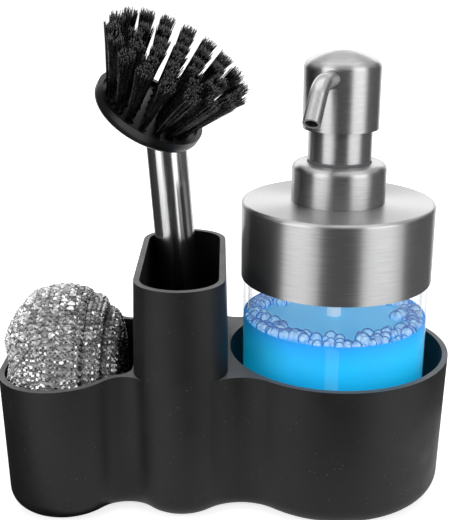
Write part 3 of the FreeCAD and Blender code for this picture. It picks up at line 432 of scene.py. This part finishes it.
# painted shade: a darker copy of the wire for loops in the folds and on the hollow end, which lie in shadow
WIRE_SHADE = knitted_steel_finish(
    "scourer_shade", dark=to_linear(60, 60, 61), light=to_linear(150, 150, 151), gloss=0.14, metal=0.8
)
WIRE_DEEP = knitted_steel_finish(
    "scourer_inside", dark=to_linear(130, 130, 132), light=to_linear(190, 190, 191), gloss=0.45, metal=0.4
)
CLEAR = clear_finish("clear_bottle", to_linear(196, 204, 210), facing=0.035, edge=0.8, gloss=0.03)
SOAP = soap_finish()
BUBBLE = bubble_finish()
PALE = plain_plastic_finish("pump_plastic", to_linear(226, 226, 223))
# painted glow: the tube shines a little of its own, standing in for light that reaches it through the soap
TUBE = plain_plastic_finish("tube_plastic", to_linear(222, 238, 245), alpha=0.85, glow=0.3)
RING = plain_plastic_finish("ring_plastic", to_linear(104, 104, 106))
SEAL = plain_plastic_finish("seal_rubber", to_linear(70, 70, 72))
SPRING = polished_steel_finish("spring_steel", gloss=0.2)

NODE_FINISH = {
    "caddy_body": RUBBER,
    "handle_tube": POLISHED,
    "handle_end_plug": BLACK,
    "head_collar": BLACK,
    "brush_head": BLACK,
    "tuft_anchors": SPRING,
    "bottle": CLEAR,
    "cover_shell": BRUSHED,
    "neck_gasket": SEAL,
    "pump_housing": PALE,
    "lock_ring": RING,
    "sleeve_shell": BRUSHED,
    "inlet_ball": SPRING,
    "dip_tube": TUBE,
    "closure_nut": PALE,
    "collar_shell": BRUSHED,
    "piston_seal": SEAL,
    "stem": PALE,
    "stem_plug": PALE,
    "actuator_core": PALE,
    "dome_shell": BRUSHED,
    "spout": SPOUT_STEEL,
}


def wear(piece, finish):
    """Gives a piece one finish in place of what it had."""
    piece.data.materials.clear()
    piece.data.materials.append(finish)


for node_name, node_finish in NODE_FINISH.items():
    wear(nodes[node_name], node_finish)


# pieces


def take_template(piece):
    """The points and faces of a small shape, which is then removed."""
    mesh = piece.data
    points = np.empty(len(mesh.vertices) * 3)
    mesh.vertices.foreach_get("co", points)
    faces = [tuple(face.vertices) for face in mesh.polygons]
    bpy.data.objects.remove(piece)
    bpy.data.meshes.remove(mesh)
    return points.reshape(-1, 3), faces


def repeated_piece(name, parts, finishes, smooth=True):
    """One piece from many copies of small shapes.

    A part is (points, faces, finish number), with one number for all its faces or a list for each.
    """
    points = np.concatenate([part_points for part_points, part_faces, mark in parts])
    faces = []
    marks = []
    start = 0
    for part_points, part_faces, mark in parts:
        faces += [tuple(i + start for i in face) for face in part_faces]
        marks += list(mark) if hasattr(mark, "__len__") else [mark] * len(part_faces)
        start += len(part_points)
    mesh = bpy.data.meshes.new(name)
    mesh.from_pydata(points.tolist(), [], faces)
    mesh.polygons.foreach_set("material_index", marks)
    mesh.polygons.foreach_set("use_smooth", [smooth] * len(faces))
    piece = bpy.data.objects.new(name, mesh)
    bpy.context.scene.collection.objects.link(piece)
    for finish in finishes:
        mesh.materials.append(finish)
    mesh.update()
    return piece


def turned_frame(axis):
    """Three directions as matrix columns, the last one along axis."""
    return np.array(axis.normalized().to_track_quat("Z", "Y").to_matrix())


def select_top(piece):
    """Leaves a new piece in edit mode, with only the faces that look up selected."""
    bpy.ops.object.transform_apply(location=True, rotation=True, scale=True)
    bpy.ops.object.mode_set(mode="EDIT")
    bpy.ops.mesh.select_mode(type="FACE")
    bpy.ops.mesh.select_all(action="DESELECT")
    bpy.ops.object.mode_set(mode="OBJECT")
    for face in piece.data.polygons:
        face.select = face.normal.z > 0.9
    bpy.ops.object.mode_set(mode="EDIT")


def filament_template():
    """A tapered rod of height 1, with finish 1 on its cut end and 0 on the rest."""
    deselect_all()
    bpy.ops.mesh.primitive_cylinder_add(vertices=5, radius=1.0, depth=0.4, location=(0, 0, 0.2))
    filament = bpy.context.object
    select_top(filament)
    for rise, narrowing in ((0.3, 0.95), (0.24, 0.95), (0.06, 0.7)):
        bpy.ops.mesh.extrude_region_move(TRANSFORM_OT_translate={"value": (0, 0, rise)})
        bpy.ops.transform.resize(value=(narrowing, narrowing, 1))
    bpy.ops.object.mode_set(mode="OBJECT")
    marks = [1 if face.center.z > 0.99 else 0 for face in filament.data.polygons]
    points, faces = take_template(filament)
    return points, faces, marks


def tuft_lines():
    """Root and tip of each tuft in the dish's own frame, one in the middle and the rest in rings."""
    rise = np.array((0, 0, TUFT_RISE))
    lines = [(np.zeros(3), rise)]
    for ring in TUFT_RINGS:
        count = TUFTS_IN_FIRST_RING * ring
        for i in range(count):
            angle = 2 * math.pi * (i + 0.5 * (ring % 2)) / count
            out = np.array((math.cos(angle), math.sin(angle), 0.0))
            lines.append((out * TUFT_ROOT_RING * ring, out * TUFT_TIP_RING * ring + rise))
    return lines


def build_bristles():
    """Tufts of fine filaments that splay from the dish, each with a pale cut end, and every ninth filament
    painted paler all over as a painted highlight streak.
    """
    dice = random.Random(11)
    filament_points, filament_faces, marks = filament_template()
    highlight_streak_marks = [mark or 2 for mark in marks]
    u = filament_points[:, 2:3]
    spread = (ROOT_SPREAD * (1 - u) + TIP_SPREAD * u * u + MIDDLE_SPREAD * u * (1 - u)) * MM
    section = filament_points * np.array((FILAMENT_RADIUS, FILAMENT_RADIUS, 0.0))
    head = turned_frame(DISH_AXIS)
    centre = np.array(DISH_CENTRE) + head[:, 2] * -DISH_RECESS
    parts = []
    for root, tip in tuft_lines():
        turn = turned_frame(Vector(tip - root))
        for number in range(FILAMENTS):
            reach = math.sqrt((number + 0.5) / FILAMENTS)
            angle = number * SPIRAL_TURN + dice.uniform(-0.25, 0.25)
            spot = np.array((math.cos(angle), math.sin(angle), 0.0)) * reach
            length = (tip - root) * (1 + dice.uniform(-0.06, 0.03))
            bow = np.array((dice.uniform(-1, 1), dice.uniform(-1, 1), 0)) * FILAMENT_BOW
            points = root + length * u + (spot * spread + bow * np.sin(math.pi * u) + section) @ turn.T
            points = centre + points @ head.T
            # painted highlight: these filaments take the paler finish as streaks of painted gloss
            pale = number % HIGHLIGHT_STREAK_EVERY == HIGHLIGHT_STREAK_FIRST
            parts.append((points, filament_faces, highlight_streak_marks if pale else marks))
    piece = repeated_piece("bristle_filaments", parts, [BRISTLE, BRISTLE_END, BRISTLE_PAINTED_HIGHLIGHT])
    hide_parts("bristle_tufts")
    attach(piece, "brush")


# half the pad's outline, as (place along the level axis, radius) in millimetres
SCOURER_OUTLINE = (
    (-24.2, 0.0), (-24.0, 8.0), (-22.8, 15.3), (-20.6, 25.0), (-16.7, 32.1), (-10.2, 38.4),
    (-2.8, 41.2), (1.5, 41.3), (5.5, 40.0), (7.2, 38.2), (7.6, 37.0), (9.6, 37.1),
    (11.6, 36.7), (13.2, 35.5), (14.2, 33.2), (15.0, 31.8), (17.6, 31.2), (19.6, 29.4),
    (20.6, 26.0), (20.8, 20.4), (18.6, 12.2), (17.4, 6.1), (17.2, 0.0),
)
PROFILE = np.array(SCOURER_OUTLINE) * MM
ALONG = np.concatenate([[0], np.cumsum(np.linalg.norm(np.diff(PROFILE, axis=0), axis=1))])
OUTLINE_LENGTH = ALONG[-1]


def outline_at(distance):
    """Level and radius of the pad's outline at a distance along it."""
    return np.interp(distance, ALONG, PROFILE[:, 0]), np.interp(distance, ALONG, PROFILE[:, 1])


def lump_at(angle, level):
    """The share by which the pad stands out or in, so that it isn't truly round."""
    return 1 + 0.012 * math.sin(5 * angle + 60 * level) + 0.01 * math.sin(9 * angle - 200 * level)


def fade_in(value, start, length):
    """0 up to the start, 1 from a length further on, and even steps between."""
    return np.clip((value - start) / length, 0, 1)


def bulge_over_rim(points):
    """The pad's slack top, which swells to the left and upwards where it stands clear of the well."""
    points = np.array(points, dtype=float)
    height = points[:, 2]
    left = fade_in(SCOURER_MIDDLE.x + SWELL_EDGE - points[:, 0], 0, SWELL_FADE)
    inside = fade_in(height, SWELL_FOOT, SWELL_FADE)
    free = fade_in(height, SWELL_RIM, SWELL_RIM_FADE)
    free = free * free * (3 - 2 * free)
    flank = fade_in(np.abs(points[:, 1]), 0, FLANK) ** 2
    in_well = SWELL_IN_WELL + SWELL_AT_FLANK * flank
    points[:, 0] -= left * inside * (in_well * (1 - free) + SWELL_OVER_RIM * free)
    points[:, 2] += CROWN_RISE * fade_in(height, CROWN_START, CROWN_FADE)
    return points


def build_scourer_inside():
    """A closed sphere, reshaped to the pad's outline, that fills the space behind the loops."""
    deselect_all()
    bpy.ops.mesh.primitive_uv_sphere_add(segments=96, ring_count=len(PROFILE) * 2 - 1, radius=1.0)
    core = bpy.context.object
    core.name = "scourer_inside"
    for vertex in core.data.vertices:
        x, y, z = vertex.co
        polar = math.acos(max(-1, min(1, z)))
        level, reach = outline_at(OUTLINE_LENGTH * polar / math.pi)
        angle = math.atan2(y, x)
        reach *= INSIDE_REACH * lump_at(angle, level)
        level *= INSIDE_LEVEL
        spot = SCOURER_MIDDLE + Vector((level, math.cos(angle) * reach, math.sin(angle) * reach))
        vertex.co = bulge_over_rim([spot])[0]
    bpy.ops.object.mode_set(mode="EDIT")
    bpy.ops.mesh.select_all(action="SELECT")
    bpy.ops.mesh.normals_make_consistent(inside=False)
    bpy.ops.object.mode_set(mode="OBJECT")
    bpy.ops.object.shade_smooth()
    wear(core, WIRE_DEEP)
    return core


def shaded_ranges():
    """Distances along the outline where the knit gets painted shade, a darker finish: the two folds and the
    hollow end.
    """
    folds = [(ALONG[i] - ROW_PITCH / 2, ALONG[i] + ROW_PITCH / 2) for i in FOLD_STATIONS]
    return folds + [(ALONG[SHADED_STATION], OUTLINE_LENGTH)]


def slope_at(distance):
    """The outline's direction at a distance along it, as a step along the level axis and the radius."""
    ahead = outline_at(min(distance + SLOPE_STEP, OUTLINE_LENGTH))
    behind = outline_at(max(distance - SLOPE_STEP, 0))
    slope = np.array((ahead[0] - behind[0], ahead[1] - behind[1]))
    return slope / max(np.linalg.norm(slope), 1e-9)


def build_scourer_loops():
    """Rows of knitted loops over the pad, which lean to one side and the other by turns."""
    dice = random.Random(5)
    deselect_all()
    bpy.ops.mesh.primitive_torus_add(
        major_radius=0.8, minor_radius=0.48, major_segments=6, minor_segments=4
    )
    loop_points, loop_faces = take_template(bpy.context.object)
    ranges = shaded_ranges()
    parts = []
    row = 0
    distance = FIRST_ROW
    while distance < OUTLINE_LENGTH - LAST_ROW_ROOM:
        level, reach = outline_at(distance)
        slope = slope_at(distance)
        count = max(LEAST_LOOPS, int(2 * math.pi * reach / LOOP_PITCH))
        # painted shade: rows in the folds and on the hollow end take the darker wire
        shaded = any(low < distance < high for low, high in ranges)
        row_lean = LOOP_LEAN if row % 2 else -LOOP_LEAN
        for i in range(count):
            place = i + 0.5 * (row % 2) + dice.uniform(-LOOP_SCATTER, LOOP_SCATTER)
            angle = 2 * math.pi * place / count
            ring = np.array((0.0, math.cos(angle), math.sin(angle)))
            run = np.array((slope[0], 0, 0)) + ring * slope[1]
            side = np.array((0.0, -math.sin(angle), math.cos(angle)))
            out = np.cross(side, run)
            if out @ (np.array((level, 0, 0)) + ring * reach) < 0:
                out = -out
            middle = np.array(SCOURER_MIDDLE) + np.array((level * LOOP_LEVEL, 0, 0))
            middle = middle + ring * reach * LOOP_REACH * lump_at(angle, level) + out * LOOP_STAND
            lean = math.radians(row_lean + dice.uniform(-LEAN_SCATTER, LEAN_SCATTER))
            tip = math.radians(dice.uniform(-TIP_SCATTER, TIP_SCATTER))
            long_way = run * math.cos(lean) + side * math.sin(lean)
            wide_way = -run * math.sin(lean) + side * math.cos(lean)
            wide_way = wide_way * math.cos(tip) + out * math.sin(tip)
            high_way = np.cross(long_way, wide_way)
            size = dice.uniform(0.88, 1.12)
            ways = [long_way * LOOP_LONG * size, wide_way * LOOP_WIDE * size, high_way * LOOP_HIGH]
            basis = np.stack(ways, axis=1) * MM
            points = bulge_over_rim(middle + (basis @ loop_points.T).T)
            parts.append((points, loop_faces, int(shaded)))
        distance += ROW_PITCH
        row += 1
    return repeated_piece("scourer_loops", parts, [WIRE, WIRE_SHADE], smooth=False)


def build_scourer():
    """A pad of knitted wire: a plain inside, with loops over it."""
    core = build_scourer_inside()
    loops = build_scourer_loops()
    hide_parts("scourer")
    for piece in (core, loops):
        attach(piece, "scourer_pad")


def build_soap():
    """The soap, with its edge drawn up the wall, and a ring of bubbles round its top."""
    dice = random.Random(3)
    reach = BOTTLE_INNER + SOAP_IN_WALL
    low = BOTTLE_FLOOR + SOAP_FLOOR_ROOM
    deselect_all()
    bpy.ops.mesh.primitive_cylinder_add(
        vertices=128, radius=reach, depth=SOAP_TOP - low, location=(PUMP_X, 0, (SOAP_TOP + low) / 2)
    )
    soap = bpy.context.object
    soap.name = "soap"
    select_top(soap)
    for width, sink in SOAP_EDGE:
        bpy.ops.mesh.inset(thickness=width * MM)
        bpy.ops.transform.translate(value=(0, 0, -sink * MM))
    bpy.ops.object.mode_set(mode="OBJECT")
    bpy.ops.object.shade_smooth_by_angle(angle=math.radians(50))
    wear(soap, SOAP)
    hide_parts("soap_fill")
    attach(soap, "dispenser")

    deselect_all()
    bpy.ops.mesh.primitive_ico_sphere_add(subdivisions=2, radius=1.0)
    ball_points, ball_faces = take_template(bpy.context.object)
    parts = []
    for _ in range(BUBBLES):
        size = dice.choice(BUBBLE_SIZES) * dice.uniform(0.85, 1.15) * MM
        angle = dice.uniform(0, 2 * math.pi)
        inward = min(abs(dice.gauss(0, BUBBLE_DRIFT)), BUBBLE_DRIFT_LIMIT) * MM
        distance = reach - size - inward - BUBBLE_WALL_ROOM
        level = SOAP_TOP - BUBBLE_SINK + size * dice.uniform(-0.25, 0.45)
        middle = np.array((PUMP_X + math.cos(angle) * distance, math.sin(angle) * distance, level))
        parts.append((middle + ball_points * size, ball_faces, 0))
    bubbles = repeated_piece("soap_bubbles", parts, [BUBBLE])
    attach(bubbles, "dispenser")


def build_spring():
    """The return spring inside the barrel, wound from round wire; the coil is rigid and doesn't shorten as
    the head is pressed.
    """
    low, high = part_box("return_spring")
    height = high[2] - low[2]
    deselect_all()
    bpy.ops.mesh.primitive_circle_add(
        vertices=8, radius=SPRING_WIRE, location=(SPRING_RADIUS, 0, 0), rotation=(math.pi / 2, 0, 0)
    )
    spring = bpy.context.object
    spring.name = "wound_spring"
    bpy.ops.object.transform_apply(location=True, rotation=True, scale=True)
    winding = spring.modifiers.new("winding", "SCREW")
    winding.axis = "Z"
    winding.angle = 2 * math.pi
    winding.steps = SPRING_STEPS
    winding.render_steps = SPRING_STEPS
    winding.iterations = SPRING_TURNS
    winding.screw_offset = (height - 2 * SPRING_WIRE) / SPRING_TURNS
    bpy.ops.object.modifier_apply(modifier="winding")
    bpy.ops.object.mode_set(mode="EDIT")
    bpy.ops.mesh.select_all(action="SELECT")
    bpy.ops.mesh.remove_doubles(threshold=0.01 * MM)
    bpy.ops.mesh.fill_holes(sides=0)
    bpy.ops.mesh.select_all(action="SELECT")
    bpy.ops.mesh.normals_make_consistent(inside=False)
    bpy.ops.transform.translate(value=(PUMP_X, 0, low[2] + SPRING_WIRE))
    bpy.ops.object.mode_set(mode="OBJECT")
    bpy.ops.object.shade_smooth_by_angle(angle=math.radians(60))
    wear(spring, SPRING)
    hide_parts("return_spring")
    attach(spring, "pump")
    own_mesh(spring)


build_bristles()
build_scourer()
build_soap()
build_spring()


# stage: floor, light and camera

FLOOR_SIZE = 24
FLOOR_PLACE = (0, 4, -0.0005)
FLOOR_GLOW_SEEN = 0.58
FLOOR_GLOW_CAMERA = 0.12

# dark cards: (name, first and last compass angle in degrees, grey), and each bend as (reach, height)
FLAGS = (
    ("middle_flag", -25, 22, 88),
    ("left_flag", -140, -68, 84),
    ("right_flag", 74, 140, 138),
)
FLAG_BENDS = ((0.1, 0.001), (0.9, 0.001), (0.9, 0.6))
FLAG_STEPS = 24

# lamps: (name, place, size, power)
SOFTBOXES = (
    ("left_softbox", (-0.83, -0.66, 0.42), (0.75, 1.0), 5.0),
    ("right_softbox", (0.80, -0.74, 0.42), (0.75, 1.0), 5.0),
    ("top_softbox", (0.0, 0.1, 1.3), (1.4, 1.0), 5.0),
    ("back_softbox", (0.0, 1.5, 0.68), (2.0, 0.5), 3.6),
)
LAMP_TARGET = Vector((0.0, 0.0, 0.1))

# brightness of the world round the part, from the back by the left, the front and the right to the back
WORLD_BANDS = (
    (0.0, 0.9), (0.25, 0.35), (0.3, 0.4), (0.43, 0.25), (0.5, 0.18), (0.56, 0.25), (0.7, 0.5), (1.0, 0.9)
)
WORLD_LIGHT = 0.75

CAMERA_PLACE = (-1.45 * MM, -382.5 * MM, 225.5 * MM)
CAMERA_TILT = 71.96
SENSOR = 36
FOCAL_PIXELS = 950
PICTURE_HEIGHT = 520


def build_flag(name, first, last, shade):
    """A card on the floor round the pump, bent up at its far edge, that only gloss sees."""
    angles = np.radians(np.linspace(first, last, FLAG_STEPS + 1))
    points = []
    for reach, height in FLAG_BENDS:
        points += [(PUMP_X + math.sin(a) * reach, -math.cos(a) * reach, height) for a in angles]
    row = len(angles)
    faces = []
    for bend in range(len(FLAG_BENDS) - 1):
        for i in range(bend * row, bend * row + FLAG_STEPS):
            faces.append((i, i + 1, i + 1 + row, i + row))
    mesh = bpy.data.meshes.new(name)
    mesh.from_pydata(points, [], faces)
    flag = bpy.data.objects.new(name, mesh)
    bpy.context.scene.collection.objects.link(flag)
    colour = to_linear(shade, shade, shade)
    finish = new_finish(name, Base_Color=colour, Roughness=1.0, Specular_IOR_Level=0.0)[0]
    mesh.materials.append(finish)
    flag.visible_camera = False
    flag.visible_diffuse = False
    flag.visible_shadow = False
    flag.visible_transmission = False


def seen_share(tree):
    """The light path's outputs, and a share that is 1 for rays that look at the stage.

    Those come straight from the camera, from gloss or through something clear. It is 0 for rays that light.
    """
    path = add_node(tree, "ShaderNodeLightPath").outputs
    seen = calculate(tree, "MAXIMUM", path["Is Camera Ray"], path["Is Glossy Ray"])
    return path, calculate(tree, "MAXIMUM", seen, path["Is Transmission Ray"])


def build_floor():
    """A pale floor that glows a little where it is seen, so that it runs into the white behind it."""
    deselect_all()
    bpy.ops.mesh.primitive_plane_add(size=FLOOR_SIZE, location=FLOOR_PLACE)
    floor = bpy.context.object
    floor.name = "floor"
    finish, tree, shader = new_finish(
        "pale_floor", Roughness=0.9, Specular_IOR_Level=0.1, Emission_Color=(1, 1, 1, 1)
    )
    cloud = speckle(tree, place_in_piece(tree), scale=3.0)
    grain = ramp(tree, cloud, [(0.3, to_linear(243, 243, 243)), (0.7, to_linear(246, 246, 246))])
    tree.links.new(grain, shader.inputs["Base Color"])
    path, looked_at = seen_share(tree)
    seen_glow = calculate(tree, "MULTIPLY", looked_at, FLOOR_GLOW_SEEN)
    glow = calculate(tree, "MULTIPLY_ADD", path["Is Camera Ray"], FLOOR_GLOW_CAMERA, seen_glow)
    tree.links.new(glow, shader.inputs["Emission Strength"])
    floor.data.materials.append(finish)


def build_lamps():
    for name, place, size, power in SOFTBOXES:
        deselect_all()
        bpy.ops.object.light_add(type="AREA", location=place)
        lamp = bpy.context.object
        lamp.name = name
        lamp.data.shape = "RECTANGLE"
        lamp.data.size, lamp.data.size_y = size
        lamp.data.energy = power
        lamp.visible_camera = False
        lamp.rotation_euler = (LAMP_TARGET - Vector(place)).to_track_quat("-Z", "Y").to_euler()


def build_world():
    """A world that lights in bands and is white where it is seen."""
    world = bpy.data.worlds.new("studio")
    bpy.context.scene.world = world
    world.use_nodes = True
    tree = world.node_tree
    where = add_node(tree, "ShaderNodeTexCoord").outputs["Generated"]
    parts = add_node(tree, "ShaderNodeSeparateXYZ", Vector=where)
    front = calculate(tree, "MULTIPLY", parts.outputs["Y"], -1.0)
    turn = calculate(tree, "ARCTAN2", parts.outputs["X"], front)
    shade = ramp(tree, share_between(tree, turn, -math.pi, math.pi), WORLD_BANDS)
    dimmed = blend_colours(tree, 1.0, shade, (WORLD_LIGHT, WORLD_LIGHT, WORLD_LIGHT, 1.0), "MULTIPLY")
    looked_at = seen_share(tree)[1]
    backdrop = blend_colours(tree, looked_at, dimmed, (1.0, 1.0, 1.0, 1.0))
    tree.links.new(backdrop, tree.nodes["Background"].inputs["Color"])
    tree.nodes["Background"].inputs["Strength"].default_value = 1.0


def build_camera():
    deselect_all()
    bpy.ops.object.camera_add(location=CAMERA_PLACE, rotation=(math.radians(CAMERA_TILT), 0, 0))
    camera = bpy.context.object
    camera.data.sensor_width = SENSOR
    camera.data.lens = FOCAL_PIXELS / PICTURE_HEIGHT * SENSOR
    camera.data.clip_start = 0.01
    camera.data.clip_end = 50
    bpy.context.scene.camera = camera


build_floor()
for flag_name, flag_first, flag_last, flag_shade in FLAGS:
    build_flag(flag_name, flag_first, flag_last, flag_shade)
build_lamps()
build_world()
build_camera()
bpy.context.scene.view_settings.view_transform = "Standard"
